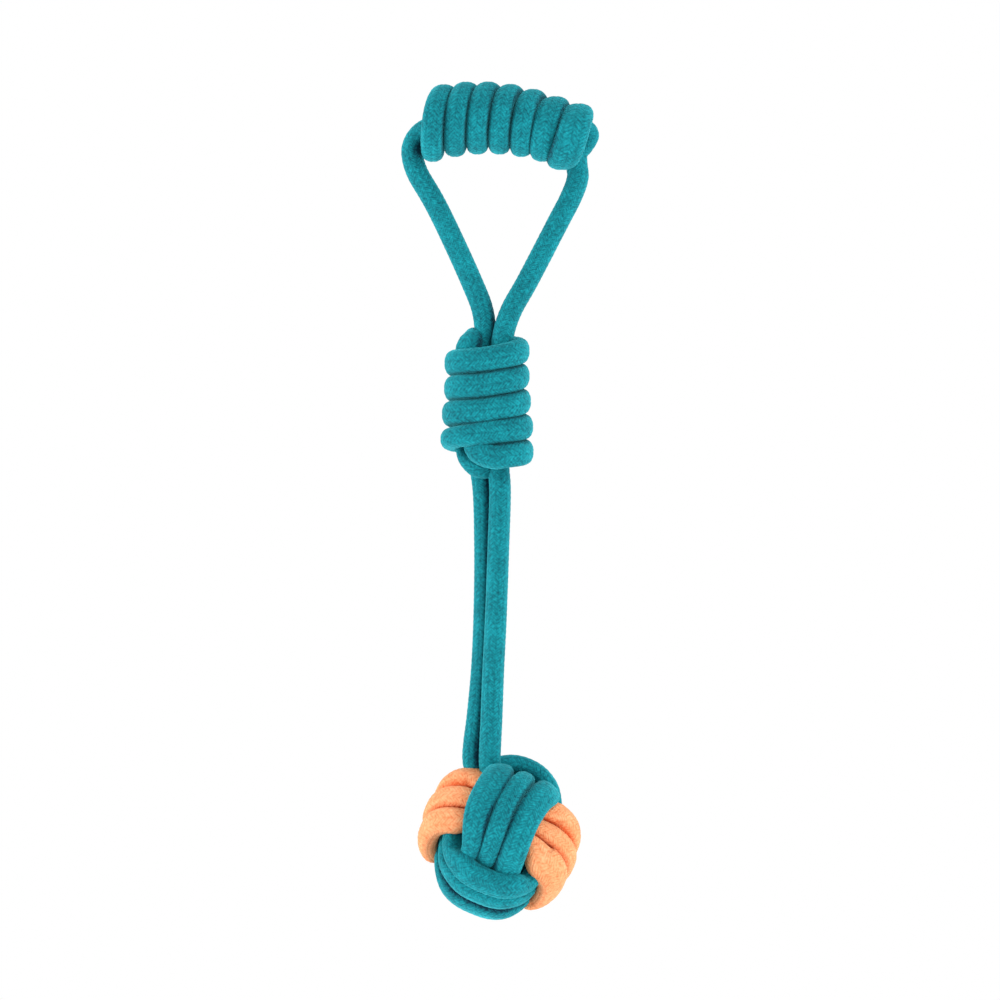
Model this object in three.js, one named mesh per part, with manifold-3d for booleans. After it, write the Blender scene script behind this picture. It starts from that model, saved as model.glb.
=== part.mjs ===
// Rope dog toy, lying on its back: a wound grip on a triangular rope handle, a coiled knot,
// two rope shanks and a ball of three crossing bands.
// Millimetres, +Z up, +Y from the ball to the handle. The origin is on the floor, under the
// middle of the toy's outline.
import * as THREE from "three";
import { mergeVertices } from "three/addons/utils/BufferGeometryUtils.js";
import Module from "manifold-3d";

// Rope
const ropeDiameter = 10;
const seatGap = 0.3;
const turnGap = 0.6;
const pairGap = 0.6;
const restCut = 0.5;
const ropeStep = 4.5;

// Grip
const gripX = 1.4;
const gripY = 166.2;
const gripPitch = 9.8;
const gripTurnGap = 0.9;
const gripWindingRadius = 11.6;
const gripArch = 7.3;

// Handle legs
const legBendRadius = 5.9;
const handleFoldY = 86;
const handleFoldX = -1.6;
const handleFoldSpread = 13.4;
const handleFlexLength = 24;

// Knot
const knotX = -5.9;
const knotY = 45.5;
const knotPitch = 11.5;
const knotHalfWidth = 16;
const knotHalfDepth = 12.2;
const coreHeightStep = 2.4;

// Shanks
const shankTopX = -3.85;
const shankTopY = 5;
const shankTopSpread = 7.7;
const shankFoldY = 0;
const shankSwayY = -50;
const shankFlexLength = 24;
const swayFlexLength = 20;

// Ball
const ballX = -0.7;
const ballY = -152.5;
const bandReach = 32.4;
const bandDepth = 18.8;
const bandHeight = 8.5;
const bandSpacing = 10.9;
const bandTightSpacing = 8.6;
const bandTightWidth = 7.8;
const bandShift = 18;
const bandStart = 22;
const neckDepth = 31;
const neckMouth = 38;
const neckLength = 14;
const neckRise = 1.5;
const neckAside = 1.8;
const neckSpread = 7.2;
const neckFlexLength = 12;

// Angles, counts and shares that shape the forms
const gripTiltDegrees = -5.7;
const ballLeanDegrees = 22.6;
const ballTiltDegrees = 34;
const ballTiltTowardsDegrees = 67.4;
const gripTurns = 6.5;
const knotTurns = 5.1;
const bandTurns = 3;
const ropeSides = 10;
const coreSides = 24;
const turnSteps = 24;
const finePoints = 6;
const bendPoints = 4;
const ridgeShares = [[1, 0], [0.5, 1], [-0.5, 1], [-1, 0], [-0.5, -1], [0.5, -1]];
const flatShares = [[1, 0.5], [0, 1], [-1, 0.5], [-1, -0.5], [0, -1], [1, -0.5]];
const ridgeHeightShare = 0.52;
const knotSquareness = 2.8;
const bandSquareness = 4;
const bandCrownShare = 0.8;
const overBandShare = 0.36;
const underBandShare = 0.66;
const weldShare = 1e-6;

// How far out and how far up each leg passes, from the fold to the grip
const leftLegShares = [[1.22, 0.86], [1.14, 0.78], [0.66, 0.5], [0.17, 0.16]];
const rightLegShares = [[1.12, 0.88], [0.95, 0.77], [0.66, 0.54], [0.22, 0.17]];

// Along, height and spread of the shanks between the knot and the ball, and how far they lie aside
const shankShares = [[0.27, 0.2, 0.77, 0], [0.55, 0.53, 0.66, 0.25], [0.72, 0.75, 0.7, 0.5]];

const ropeRadius = ropeDiameter / 2;
const ridgeHeight = ropeDiameter * ridgeHeightShare;
const fullTurn = 2 * Math.PI;
const radians = THREE.MathUtils.degToRad;

const wasm = await Module();
wasm.setup();

const teal = { color: 0x1c8794, roughness: 0.95, metalness: 0 };
const orange = { color: 0xf5a878, roughness: 0.95, metalness: 0 };
const toy = new THREE.Group();

function addPiece(name, geometry, look) {
  const piece = new THREE.Mesh(geometry, new THREE.MeshStandardMaterial(look));
  piece.name = name;
  toy.add(piece);
}

// Solids for the cuts

function solidOf(geometry) {
  const bare = new THREE.BufferGeometry();
  bare.setAttribute("position", geometry.getAttribute("position"));
  bare.setIndex(geometry.index);
  const merged = mergeVertices(bare, ropeDiameter * weldShare);
  return new wasm.Manifold(new wasm.Mesh({
    numProp: 3,
    vertProperties: Float32Array.from(merged.getAttribute("position").array),
    triVerts: Uint32Array.from(merged.index.array),
  }));
}

function geometryOf(solid) {
  const mesh = solid.getMesh();
  const geometry = new THREE.BufferGeometry();
  geometry.setAttribute("position", new THREE.BufferAttribute(mesh.vertProperties, 3));
  geometry.setIndex(new THREE.BufferAttribute(mesh.triVerts, 1));
  return geometry;
}

// A winding is cut flat where the toy rests on it
function cutFlat(geometry) {
  geometry.computeBoundingBox();
  const size = geometry.boundingBox.getSize(new THREE.Vector3()).multiplyScalar(2);
  const middle = geometry.boundingBox.getCenter(new THREE.Vector3());
  const under = new THREE.BoxGeometry(...size).translate(middle.x, middle.y, -size.z / 2);
  return geometryOf(solidOf(geometry).subtract(solidOf(under)));
}

// A wound rope: a six-sided section at each point, with its first corner turned outwards
function woundRope(points, outwardAt, halfSizeAt, sectionShares) {
  const sides = sectionShares.length;
  const last = points.length - 1;
  const positions = [];
  points.forEach((point, i) => {
    const along = points[Math.min(i + 1, last)].clone().sub(points[Math.max(i - 1, 0)]).normalize();
    const out = outwardAt(point);
    out.addScaledVector(along, -out.dot(along)).normalize();
    const aside = along.clone().cross(out);
    const [high, wide] = halfSizeAt(point);
    for (const [outShare, asideShare] of sectionShares) {
      const corner = point.clone().addScaledVector(out, outShare * high);
      positions.push(...corner.addScaledVector(aside, asideShare * wide));
    }
  });
  const index = [];
  for (let ring = 0; ring < last; ring += 1) {
    for (let side = 0; side < sides; side += 1) {
      const a = ring * sides + side;
      const b = ring * sides + ((side + 1) % sides);
      index.push(a, b, a + sides, b, b + sides, a + sides);
    }
  }
  for (let side = 1; side < sides - 1; side += 1) {
    const end = last * sides;
    index.push(0, side + 1, side, end, end + side, end + side + 1);
  }
  const geometry = new THREE.BufferGeometry();
  geometry.setAttribute("position", new THREE.Float32BufferAttribute(positions, 3));
  geometry.setIndex(index);
  return geometry;
}

// Even steps along the curve that angleToPoint draws, with each end run out straight
function windingPoints(angleToPoint, from, to) {
  const steps = Math.round(((to - from) / fullTurn) * turnSteps);
  const fine = [];
  for (let i = 0; i <= steps * finePoints; i += 1) {
    fine.push(angleToPoint(from + ((to - from) * i) / (steps * finePoints)));
  }
  const line = new THREE.CatmullRomCurve3(fine);
  line.arcLengthDivisions = fine.length;
  const runOut = (end, before) => end.clone().add(end.clone().sub(before).setLength(ropeDiameter));
  return [runOut(fine[0], fine[1]), ...line.getSpacedPoints(steps), runOut(fine.at(-1), fine.at(-2))];
}

// The least gap between the surfaces of one winding's turns, from points on its corners and edges
function leastGap(geometry, sides) {
  const place = geometry.getAttribute("position");
  const rings = place.count / sides;
  const at = (ring, side) => new THREE.Vector3().fromBufferAttribute(place, ring * sides + (side % sides));
  const rows = [];
  for (let ring = 0; ring < rings - 1; ring += 1) {
    const row = [];
    for (let side = 0; side < sides; side += 1) {
      row.push(at(ring, side), at(ring, side).lerp(at(ring, side + 1), 1 / 2));
      row.push(at(ring, side).lerp(at(ring + 1, side), 1 / 2));
    }
    rows.push(row);
  }
  let least = Infinity;
  rows.forEach((row, ring) => {
    for (const other of rows.slice(ring + turnSteps / 3)) {
      if (row[0].distanceTo(other[0]) > ropeDiameter * 2) continue;
      for (const one of row) for (const two of other) least = Math.min(least, one.distanceTo(two));
    }
  });
  return least;
}

function reportGap(name, geometry) {
  const gap = leastGap(geometry, ridgeShares.length);
  console.log(`${name}: least gap to itself ${gap.toFixed(2)} mm`);
}

// A bare rope, cut out of the whole rope's line between two distances along it
class Stretch extends THREE.Curve {
  constructor(line, from, to) {
    super();
    Object.assign(this, { line, from, to });
  }

  getPoint(share, target = new THREE.Vector3()) {
    const along = THREE.MathUtils.lerp(this.from, this.to, share) / this.line.getLength();
    return target.copy(this.line.getPointAt(THREE.MathUtils.clamp(along, 0, 1)));
  }
}

function bareRope(line, from, to) {
  const section = new THREE.Shape();
  for (let side = 0; side < ropeSides; side += 1) {
    const angle = (fullTurn * (side + 1 / 2)) / ropeSides;
    section[side ? "lineTo" : "moveTo"](ropeRadius * Math.cos(angle), ropeRadius * Math.sin(angle));
  }
  const steps = Math.ceil((to - from) / ropeStep);
  const stretch = new Stretch(line, from, to);
  return new THREE.ExtrudeGeometry(section, { steps, curveSegments: 1, extrudePath: stretch });
}

// Where a rope's line crosses a height along Y, as a distance along the line
function distanceAtY(line, y) {
  const length = line.getLength();
  let low = 0;
  let high = length;
  const falling = line.getPointAt(0).y > line.getPointAt(1).y;
  for (let i = 0; i < turnSteps; i += 1) {
    const middle = (low + high) / 2;
    if (line.getPointAt(middle / length).y > y === falling) low = middle;
    else high = middle;
  }
  return low;
}

// Grip: a winding that climbs along an arched line, which falls to the right
const gripTilt = radians(gripTiltDegrees);
const gripHalfWidth = (gripPitch - gripTurnGap) / 2;
const gripZ = gripWindingRadius + ridgeHeight - restCut;
const gripHalfLength = (gripPitch * gripTurns) / 2 + gripHalfWidth;
const gripEnd = gripHalfLength + ropeRadius * Math.sin(Math.abs(gripTilt));
const gripMiddle = new THREE.Vector3(gripX, gripY, gripZ);
const rollAxis = new THREE.Vector3(Math.cos(gripTilt), Math.sin(gripTilt), 0);

function gripLineY(x) {
  const share = (x - gripX) / gripHalfLength;
  return gripY + Math.tan(gripTilt) * (x - gripX) + gripArch * (1 - share * share);
}

function gripPoint(angle) {
  const x = gripX + gripPitch * (angle / fullTurn - gripTurns / 2);
  const y = gripLineY(x) - gripWindingRadius * Math.cos(angle);
  return new THREE.Vector3(x, y, gripZ + gripWindingRadius * Math.sin(angle));
}

function makeGrip() {
  const points = windingPoints(gripPoint, 0, gripTurns * fullTurn);
  const outwardAt = (p) => new THREE.Vector3(0, p.y - gripLineY(p.x), p.z - gripZ);
  const winding = woundRope(points, outwardAt, () => [ridgeHeight, gripHalfWidth], ridgeShares);
  reportGap("grip_winding", winding);
  addPiece("grip_winding", cutFlat(winding), teal);

  // The core follows the arch, and its ends are square to the line between them
  const corePoints = [];
  for (let i = -turnSteps; i <= turnSteps; i += 1) {
    const x = gripX + (i / turnSteps) * (gripEnd + ropeRadius);
    corePoints.push(new THREE.Vector3(x, gripLineY(x), gripZ));
  }
  const coreLine = new THREE.CatmullRomCurve3(corePoints);
  const core = bareRope(coreLine, 0, coreLine.getLength());
  const between = new THREE.BoxGeometry(2 * gripEnd, 2 * gripEnd, 2 * gripEnd);
  between.applyMatrix4(new THREE.Matrix4().makeRotationZ(gripTilt).setPosition(gripMiddle));
  addPiece("grip_core", geometryOf(solidOf(core).intersect(solidOf(between))), teal);
}

// Knot: an oval coil round two ropes side by side, rising to the right on the front
const knotHalfTurn = (knotPitch - turnGap) / 2;
const knotZ = knotHalfDepth + ridgeHeight - restCut;
const knotHalfHeight = (knotPitch * knotTurns) / 2;
const knotBottomY = knotY - knotHalfHeight;
const knotTopY = knotY + knotHalfHeight;
const coreSpread = Math.sqrt((ropeDiameter + pairGap) ** 2 - coreHeightStep ** 2);

function knotPoint(angle) {
  const left = Math.cos(angle) / knotHalfWidth;
  const front = Math.sin(angle) / knotHalfDepth;
  const power = knotSquareness;
  const reach = (Math.abs(left) ** power + Math.abs(front) ** power) ** (-1 / power);
  const y = knotBottomY + (knotPitch * angle) / fullTurn;
  return new THREE.Vector3(knotX - reach * Math.cos(angle), y, knotZ + reach * Math.sin(angle));
}

function makeKnot() {
  const points = windingPoints(knotPoint, 0, knotTurns * fullTurn);
  const outwardAt = (p) => new THREE.Vector3(p.x - knotX, 0, p.z - knotZ);
  const winding = woundRope(points, outwardAt, () => [ridgeHeight, knotHalfTurn], ridgeShares);
  reportGap("knot_winding", winding);
  addPiece("knot_winding", cutFlat(winding), teal);
}

// Ball: three bands of three turns. Each band goes over one of the others and under the next.
const ballFront = new THREE.Vector3(
  Math.sin(radians(ballTiltDegrees)) * Math.cos(radians(ballTiltTowardsDegrees)),
  Math.sin(radians(ballTiltDegrees)) * Math.sin(radians(ballTiltTowardsDegrees)),
  Math.cos(radians(ballTiltDegrees)),
);
const ballUp = new THREE.Vector3(Math.sin(radians(ballLeanDegrees)), Math.cos(radians(ballLeanDegrees)), 0);
ballUp.addScaledVector(ballFront, -ballUp.dot(ballFront)).normalize();
const ballLeft = ballFront.clone().cross(ballUp);

function underShare(across, under) {
  const share = Math.abs(under) / Math.hypot(across, under);
  return THREE.MathUtils.smoothstep(share, overBandShare, underBandShare);
}

// The angle is 0 over the ball's front, and the turn moves aside where the band passes under
function bandPoint(angle) {
  const shiftAngle = Math.atan(bandShift / bandDepth);
  let turn = -(bandTurns - 1) / 2;
  for (let i = 1; i < bandTurns; i += 1) {
    const pole = fullTurn * (i - 1 / 4);
    turn += THREE.MathUtils.smoothstep(angle, pole - shiftAngle, pole + shiftAngle);
  }
  const tight = underShare(Math.cos(angle), Math.sin(angle));
  const aside = turn * THREE.MathUtils.lerp(bandSpacing, bandTightSpacing, tight);
  const over = Math.sqrt(bandReach ** 2 - bandCrownShare * aside ** 2);
  const wide = Math.abs(Math.cos(angle)) / over;
  const deep = Math.abs(Math.sin(angle)) / bandDepth;
  const reach = (wide ** bandSquareness + deep ** bandSquareness) ** (-1 / bandSquareness);
  return new THREE.Vector3(reach * Math.cos(angle), reach * Math.sin(angle), aside);
}

function bandGeometry(margin) {
  const startAngle = Math.atan(bandStart / bandDepth) - fullTurn / 4;
  const endAngle = fullTurn * (bandTurns - 1 / 4) - (startAngle + fullTurn / 4);
  const points = windingPoints(bandPoint, startAngle, endAngle);
  const halfSizeAt = (p) => {
    const wide = THREE.MathUtils.lerp(bandSpacing - turnGap, bandTightWidth, underShare(p.x, p.y));
    return [bandHeight / 2 + margin, wide / 2 + margin];
  };
  return woundRope(points, (p) => p.clone(), halfSizeAt, flatShares);
}

// Each band is the same form, with the ball's three axes taken in turn
const ballFrames = [
  [ballFront, ballUp, ballLeft],
  [ballUp, ballLeft, ballFront],
  [ballLeft, ballFront, ballUp],
].map((axes) => new THREE.Matrix4().makeBasis(...axes));
const bandForm = bandGeometry(0);
const bandLows = ballFrames.map((frame) => {
  const turned = bandForm.clone().applyMatrix4(frame);
  turned.computeBoundingBox();
  return turned.boundingBox.min.z;
});
const ballZ = -Math.min(...bandLows) - restCut;
const ballMiddle = new THREE.Vector3(ballX, ballY, ballZ);
for (const frame of ballFrames) frame.setPosition(ballMiddle);

function makeBall() {
  reportGap("ball bands", bandForm);
  const names = ["ball_front_band", "ball_cross_band", "ball_side_band"];
  const looks = [teal, teal, orange];
  ballFrames.forEach((frame, i) => {
    addPiece(names[i], cutFlat(bandForm.clone().applyMatrix4(frame)), looks[i]);
  });
  const coreRadius = bandDepth - bandHeight / 2 - seatGap;
  const core = new THREE.SphereGeometry(coreRadius, coreSides, coreSides / 2);
  addPiece("ball_core", core.translate(...ballMiddle), teal);
}

// Ropes: each runs on one line from the grip, through the knot and down to the ball
const ballCorner = ballFront.clone().add(ballUp).add(ballLeft).normalize();
const ballMouth = ballMiddle.clone().addScaledVector(ballCorner, neckMouth);
const ballPivot = ballMouth.clone().add(new THREE.Vector3(neckAside, neckLength, neckRise));

// Places on the line midway between the two ropes, each with the ropes' distance apart sideways
function pairPlaces() {
  const places = [knotTopY, knotY, knotBottomY].map((y) => [new THREE.Vector3(knotX, y, knotZ), coreSpread]);
  const top = new THREE.Vector3(shankTopX, shankTopY, knotZ);
  places.push([top, shankTopSpread]);
  for (const [along, height, spread, aside] of shankShares) {
    const x = THREE.MathUtils.lerp(top.x, ballPivot.x, aside);
    const y = THREE.MathUtils.lerp(top.y, ballPivot.y, along);
    const z = THREE.MathUtils.lerp(top.z, ballPivot.z, height);
    places.push([new THREE.Vector3(x, y, z), spread * shankTopSpread]);
  }
  const depth = ballMiddle.clone().addScaledVector(ballCorner, neckDepth);
  for (const place of [ballPivot, ballMouth, depth]) places.push([place, neckSpread]);
  return places;
}

// The left rope lies lower than the right one, so that the two lie against each other
function pairLine(side) {
  const places = pairPlaces();
  return places.map(([place, spread], i) => {
    const before = places[Math.max(i - 1, 0)][0];
    const after = places[Math.min(i + 1, places.length - 1)][0];
    const above = new THREE.Vector3(1, 0, 0).cross(before.clone().sub(after)).normalize();
    const apart = Math.sqrt((ropeDiameter + pairGap) ** 2 - spread ** 2);
    const point = place.clone().addScaledVector(above, (side * apart) / 2);
    return point.setX(point.x + (side * spread) / 2);
  });
}

function ropeLine(side, legShares) {
  const exit = gripMiddle.clone().addScaledVector(rollAxis, side * (gripEnd + seatGap));
  const inwards = new THREE.Vector3(rollAxis.y, -rollAxis.x, 0);
  const bendStart = exit.clone().addScaledVector(rollAxis, side * seatGap);
  const points = [exit];
  for (let i = 0; i <= bendPoints; i += 1) {
    const angle = (fullTurn / 4) * (i / bendPoints);
    const point = bendStart.clone().addScaledVector(inwards, legBendRadius * (1 - Math.cos(angle)));
    points.push(point.addScaledVector(rollAxis, side * legBendRadius * Math.sin(angle)));
  }
  const fold = new THREE.Vector3(handleFoldX + (side * handleFoldSpread) / 2, handleFoldY, knotZ);
  for (const [out, up] of legShares) {
    const x = THREE.MathUtils.lerp(fold.x, exit.x, out);
    const y = THREE.MathUtils.lerp(fold.y, exit.y, up);
    points.push(new THREE.Vector3(x, y, THREE.MathUtils.lerp(fold.z, exit.z, up)));
  }
  return new THREE.CatmullRomCurve3([...points, fold, ...pairLine(side)], false, "centripetal");
}

// A rope bends at the fold, below the knot, midway and at the ball, and is a piece of its own there
function makeRope(word, side, legShares) {
  const line = ropeLine(side, legShares);
  const marks = [
    ["leg", 0],
    ["handle_flex", distanceAtY(line, handleFoldY + handleFlexLength / 2)],
    ["knot_core", distanceAtY(line, handleFoldY - handleFlexLength / 2)],
    ["shank_flex", distanceAtY(line, shankFoldY + shankFlexLength / 2)],
    ["upper_shank", distanceAtY(line, shankFoldY - shankFlexLength / 2)],
    ["shank_bend", distanceAtY(line, shankSwayY + swayFlexLength / 2)],
    ["lower_shank", distanceAtY(line, shankSwayY - swayFlexLength / 2)],
    ["neck", distanceAtY(line, ballPivot.y + neckFlexLength)],
  ];
  marks.forEach(([name, start], i) => {
    const from = i ? start + seatGap / 2 : start;
    const to = i < marks.length - 1 ? marks[i + 1][1] - seatGap / 2 : line.getLength();
    const rope = bareRope(line, from, to);
    addPiece(`${name}_${word}`, name === "neck" ? cutNeck(rope) : rope, teal);
  });
}

// A neck ends where it meets the bands
function cutNeck(rope) {
  const grown = bandGeometry(seatGap);
  let neck = solidOf(rope);
  for (const frame of ballFrames) neck = neck.subtract(solidOf(grown.clone().applyMatrix4(frame)));
  const bodies = neck.decompose().sort((one, two) => two.volume() - one.volume());
  return geometryOf(bodies[0]);
}

makeGrip();
makeKnot();
makeBall();
makeRope("left", -1, leftLegShares);
makeRope("right", 1, rightLegShares);

export default toy;
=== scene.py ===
import math

import bmesh
import bpy
import numpy as np
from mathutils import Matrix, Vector


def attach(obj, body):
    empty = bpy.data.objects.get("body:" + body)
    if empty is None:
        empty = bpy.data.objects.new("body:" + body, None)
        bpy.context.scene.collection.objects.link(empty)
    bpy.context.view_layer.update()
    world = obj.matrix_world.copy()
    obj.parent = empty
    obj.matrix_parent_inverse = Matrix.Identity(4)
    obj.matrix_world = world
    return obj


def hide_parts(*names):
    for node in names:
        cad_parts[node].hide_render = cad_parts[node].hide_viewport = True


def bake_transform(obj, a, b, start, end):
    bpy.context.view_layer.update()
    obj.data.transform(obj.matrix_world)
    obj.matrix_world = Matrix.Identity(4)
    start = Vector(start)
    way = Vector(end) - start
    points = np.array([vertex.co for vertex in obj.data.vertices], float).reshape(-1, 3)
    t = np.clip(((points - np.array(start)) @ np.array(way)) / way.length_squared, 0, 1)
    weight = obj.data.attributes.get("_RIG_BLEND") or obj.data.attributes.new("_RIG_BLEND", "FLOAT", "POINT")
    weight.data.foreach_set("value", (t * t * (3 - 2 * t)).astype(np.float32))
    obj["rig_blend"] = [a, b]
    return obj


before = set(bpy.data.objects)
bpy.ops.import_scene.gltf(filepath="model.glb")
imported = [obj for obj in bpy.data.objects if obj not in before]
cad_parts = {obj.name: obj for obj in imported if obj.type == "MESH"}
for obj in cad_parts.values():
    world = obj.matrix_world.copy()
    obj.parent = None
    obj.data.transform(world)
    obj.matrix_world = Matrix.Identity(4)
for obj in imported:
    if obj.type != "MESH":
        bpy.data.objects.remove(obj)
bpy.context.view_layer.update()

# A rope dog toy of braided cotton, seen from straight above. Sizes are in metres.
MM = 0.001

# Rope. Its section is a superellipse, round where it is bare and squarer in the windings. Its own
# ends are drawn in round
ROPE = 10 * MM
ROUND_SECTION = 2.0
WOUND_SECTION = 2.4
TIP_LENGTH = 4 * MM
TIP_SHARE = 0.02
PATH_STEP = 1.5 * MM
ROUTE_POINTS = 24

# Braid
BRAID_COLUMNS = 12
BRAID_SIDES = 60
BRAID_STEP = 0.6 * MM
BRAID_RELIEF = 0.18 * MM
STITCH = 2.6 * MM
STITCH_SLANT = 0.85
STITCH_EDGE_POWER = 4.0
STITCH_EDGE_DEPTH = 0.6
NAP_SCALE = 800
NAP_RELIEF = 0.12 * MM
SEAM_WELD = 0.02 * MM

# Cotton: its noises, what each pattern adds to the tone between deep and light, where the thread
# and strand patterns are painted shade in the braid's grooves, and how dark the painted shade is
# where a neighbour presses the rope
WANDER_SCALE = 260
WANDER = 0.9 * MM
PATCH_SCALE = 110
SPECK_SCALE = 750
# The thread and strand shares are painted shade, darker in the grooves between threads and stitches
PAINTED_THREAD_SHADE = 0.15
PAINTED_STRAND_SHADE = 0.09
PATCH_SHADE = 0.4
SPECK_SHADE = 0.95
SHADE_LEVEL = 0.345
THREAD_BUMP = 0.6
SPECK_BUMP = 0.8
BUMP_DEPTH = 0.3 * MM
# Painted shade where a neighbour presses the rope: how fast it sets in towards the side, and how dark it
# gets
PAINTED_CREVICE_POWER = 9.0
PAINTED_CREVICE_SHADE = {"teal_cotton": 0.75, "orange_cotton": 0.4}

# Grip
GRIP_X = 2.4 * MM
GRIP_Y = 166.1 * MM
GRIP_PITCH = 10.15 * MM
GRIP_TURNS = 6.5
GRIP_START = -0.45 * math.pi
GRIP_END = (2 * GRIP_TURNS + 0.2) * math.pi
GRIP_LAST_TOP = (2 * GRIP_TURNS - 0.5) * math.pi
GRIP_POINTS = 420
GRIP_RADIUS = 11.3 * MM
GRIP_TAPER = 0.9 * MM
GRIP_BOW = 2.4 * MM
GRIP_LOOSE = 2.3 * MM
GRIP_SECOND_LOOSE = 0.5
GRIP_LAST_BOW = 1.4
GRIP_LAST_SLANT = 1.7 * MM
GRIP_LAST_DRAW = 1.3 * MM
GRIP_LAST_SWELL = 1.3 * MM
GRIP_ARCH = 7.3 * MM
GRIP_HALF_LENGTH = 36.3 * MM
GRIP_HALF_HEIGHT = 5.1 * MM
GRIP_TILT = math.radians(-6.3)
GRIP_INSIDE_SHARE = 0.75
GRIP_INSIDE_POINTS = 5
REST_CUT = 0.5 * MM

# Knot
KNOT_MIDDLE = Vector((-5.9, 45.5, 16.9)) * MM
KNOT_PITCH = 11.5 * MM
KNOT_TURNS = 5.1
KNOT_START = 0.6 * math.pi
KNOT_END = 9.6 * math.pi
KNOT_POINTS = 120
KNOT_HALF_WIDTH = 16 * MM
KNOT_TAPER = 1.8 * MM
KNOT_TAPER_SPAN = (2 * math.pi, 7 * math.pi)
KNOT_SAG = 1.2 * MM
KNOT_SAG_SPAN = (2.4 * math.pi, 4.2 * math.pi)
KNOT_HALF_DEPTH = 12.2 * MM
KNOT_SQUARENESS = 2.8
KNOT_HALF_HEIGHT = 5.2 * MM
KNOT_FIRST_NARROW = 0.9 * MM
KNOT_END_POINTS = 24
KNOT_END_HALF_HEIGHT = 4.8 * MM
KNOT_END_OUTWARD = (-0.4, 0.0, 0.9)

# In millimetres, how the knot's lowest turn comes out, and its two ends with their half widths
KNOT_FIRST = [(-11, 27.5, 20), (-10.6, 24.2, 24), (-8.2, 21.4, 27.6)]
KNOT_TAIL = [(-16.6, 31, 10, 2.6), (-16.9, 26.5, 11, 2.6), (-16.9, 22.9, 12, 2.7),
             (-15.7, 19.1, 14, 3.2), (-13.1, 16.3, 16.8, 4), (-10.2, 14.6, 18.4, 4.5),
             (-6.5, 14.2, 17, 4.6), (-3, 14.6, 12, 4.6)]
KNOT_ARCH = [(-14.4, 61, 19, 6), (-14.7, 66.5, 20.5, 6), (-14, 70.2, 20, 5.9),
             (-12.7, 72.8, 16.5, 5.6), (-11.9, 73, 12, 5.2), (-11.5, 71, 8, 4.8)]

# Ball
BALL_MIDDLE = Vector((-0.7, -152.5, 36.4)) * MM
BALL_LEAN = math.radians(22.6)
BALL_TILT = math.radians(34)
BALL_TILT_TOWARDS = math.radians(67.4)
BAND_REACH = 32.1 * MM
BAND_HALF_HEIGHT = 4.55 * MM
BAND_SPACING = 10.9 * MM
BAND_TIGHT_SPACING = 8.8 * MM
BAND_TIGHT_WIDTH = 8.4 * MM
BAND_SHIFT = 18 * MM
BAND_START = 22 * MM
BAND_TURNS = 3
BAND_POINTS = 540
BAND_SQUARENESS = 2.7
BAND_CROWN_SHARE = 0.8
OVER_SHARE = 0.39
UNDER_SHARE = 0.66
HEART_RADIUS = 19.9 * MM
HEART_TURNS = 6
HEART_SPAN = (0.04, 0.96)
HEART_POINTS = 300

# How each band lies. On its near side and its far side, each of its three turns lies aside of its
# even place and is wider than the bare spacing, in millimetres. Five numbers in place of one stand
# for five heights from the turn's foot to its top.
FRONT_BAND = {"depth": 22.3 * MM, "skew": 0.07, "fan": 0.03, "shift": 1 * MM, "late": (0.34, 0.14),
              "near": {"aside": ((-0.3, 1.6, 1.75, 0.3, -2.65), (-1, 1.2, 1.8, 0.7, -2),
                                 (-5.1, 0.7, 1, 0.2, -1)),
                       "wider": (2.2, -1.2, (-2, 1.5, 3, 3, 1))},
              "far": {"aside": (0, 0, 0), "wider": (1, 0, 1)}}
CROSS_BAND = {"depth": 21 * MM, "lean": 0.05, "crown": 2.2 * MM, "rounder": 0.5,
              "near": {"aside": (-0.7, 0, 0.7), "wider": (2, -0.6, 2)},
              "far": {"aside": (0.6, 2.8, 0.7), "wider": (3, -0.5, 1.2)}}
SIDE_BAND = {"depth": 19.4 * MM, "skew": -0.06, "crown": -0.8 * MM, "late": (0, 0.19),
             "near": {"aside": (-0.3, 0.9, 1.7), "wider": (1.2, 0.4, 1.6)},
             "far": {"aside": (-2.4, 0, 0.9), "wider": (5.5, -0.6, 2.4)}}

# The two ropes, in millimetres, from the mouths of the grip to inside the ball
LEFT_ROUTE = [
    (-32.5, 169.2, 13.6), (-35.8, 167.4, 11.4), (-38.5, 164.2, 10.4), (-40, 160, 11),
    (-39.7, 155.5, 12.4), (-37.7, 149.2, 14.2), (-30.8, 137.2, 15.8), (-25.9, 127.7, 16.6),
    (-12.9, 99.4, 16.2), (-8.1, 87, 15.2), (-6.8, 77, 14.8), (-8.2, 67, 15.2), (-11.1, 52, 15.7),
    (-11, 24, 15.2), (-8.9, 14, 13.2), (-7.6, 5, 13.6), (-6.8, -26.2, 18.4), (-7.3, -58, 27.2),
    (-8.3, -78, 33), (-10.4, -100, 37.6), (-11.7, -110, 38), (-12, -118, 37), (-9.6, -126, 35),
    (-7, -133, 32.5),
]
RIGHT_ROUTE = [
    (34.4, 168.2, 12.6), (38.4, 168.8, 10.6), (40.3, 166.6, 8.4), (38.2, 162.6, 7),
    (35.2, 158.6, 6), (35.1, 152.8, 6.2), (35.6, 148.6, 7.4), (35, 144.9, 9), (31.9, 137, 12.6),
    (26.9, 127.3, 15.8), (12.2, 99, 17), (5.4, 86.8, 18.6), (2.3, 78.5, 19.6), (0.8, 71, 19.8),
    (-0.7, 58, 18.3), (-0.7, 16.2, 18.1), (0, 5.5, 20.5), (-0.8, -23.5, 26.6),
    (-1.9, -53.8, 35.9), (-3.1, -78, 41.9), (-3.9, -100, 46.4), (-4.4, -110, 46.4),
    (-4.6, -118, 43.8), (-3.8, -126, 39.5), (-2, -133, 35),
]

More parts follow.
